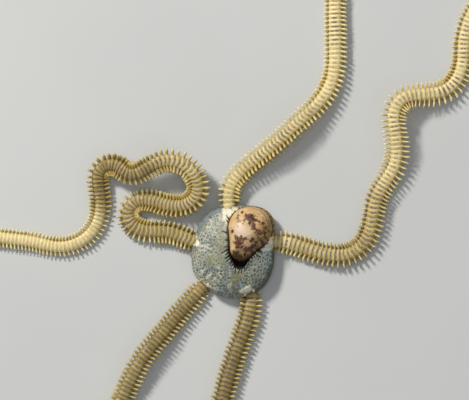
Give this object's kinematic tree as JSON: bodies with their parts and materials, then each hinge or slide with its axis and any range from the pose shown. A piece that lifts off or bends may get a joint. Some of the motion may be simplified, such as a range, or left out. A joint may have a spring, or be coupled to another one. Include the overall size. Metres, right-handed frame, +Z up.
{
  "type": "long-armed brittle star",
  "caption": "Life-size still model of a long-armed brittle star resting mouth down, with a swollen round disc, a rounded bulge in a slit on its back, and long spiny arms sprawled in curves.",
  "frame": {"origin": "the middle of the flat mouth side, on the surface that the animal rests on", "axes": "+Z up, out of the animal's back; +Y towards the arm at the top of the picture, +X to the right of the picture"},
  "size_m": [0.1279, 0.1135, 0.0047],
  "materials": {
    "disc_skin": "wet satin, blue-grey with a pale network and dark dots",
    "bulge_skin": "wet gloss, peach with purple-brown blotches",
    "mouth_skin": "satin, cream",
    "arm_plates": "satin chalky plates, golden cream with grey-brown bars"
  },
  "bodies": {
    "root": {"disc": "disc_skin", "disc_bulge": "bulge_skin", "mouth_side": "mouth_skin", "arm_right_1": "arm_plates", "arm_right_2": "arm_plates", "arm_right_3": "arm_plates", "arm_right_4": "arm_plates", "arm_right_5": "arm_plates", "arm_right_6": "arm_plates", "arm_right_7": "arm_plates", "arm_right_8": "arm_plates", "arm_up_1": "arm_plates", "arm_up_2": "arm_plates", "arm_up_3": "arm_plates", "arm_up_4": "arm_plates", "arm_up_5": "arm_plates", "arm_up_6": "arm_plates", "arm_up_7": "arm_plates", "arm_up_8": "arm_plates", "arm_left_1": "arm_plates", "arm_left_2": "arm_plates", "arm_left_3": "arm_plates", "arm_left_4": "arm_plates", "arm_left_5": "arm_plates", "arm_left_6": "arm_plates", "arm_left_7": "arm_plates", "arm_left_8": "arm_plates", "arm_lower_left_1": "arm_plates", "arm_lower_left_2": "arm_plates", "arm_lower_left_3": "arm_plates", "arm_lower_left_4": "arm_plates", "arm_lower_left_5": "arm_plates", "arm_lower_left_6": "arm_plates", "arm_lower_left_7": "arm_plates", "arm_lower_left_8": "arm_plates", "arm_bottom_1": "arm_plates", "arm_bottom_2": "arm_plates", "arm_bottom_3": "arm_plates", "arm_bottom_4": "arm_plates", "arm_bottom_5": "arm_plates", "arm_bottom_6": "arm_plates", "arm_bottom_7": "arm_plates", "arm_bottom_8": "arm_plates"}
  },
  "joints": []
}
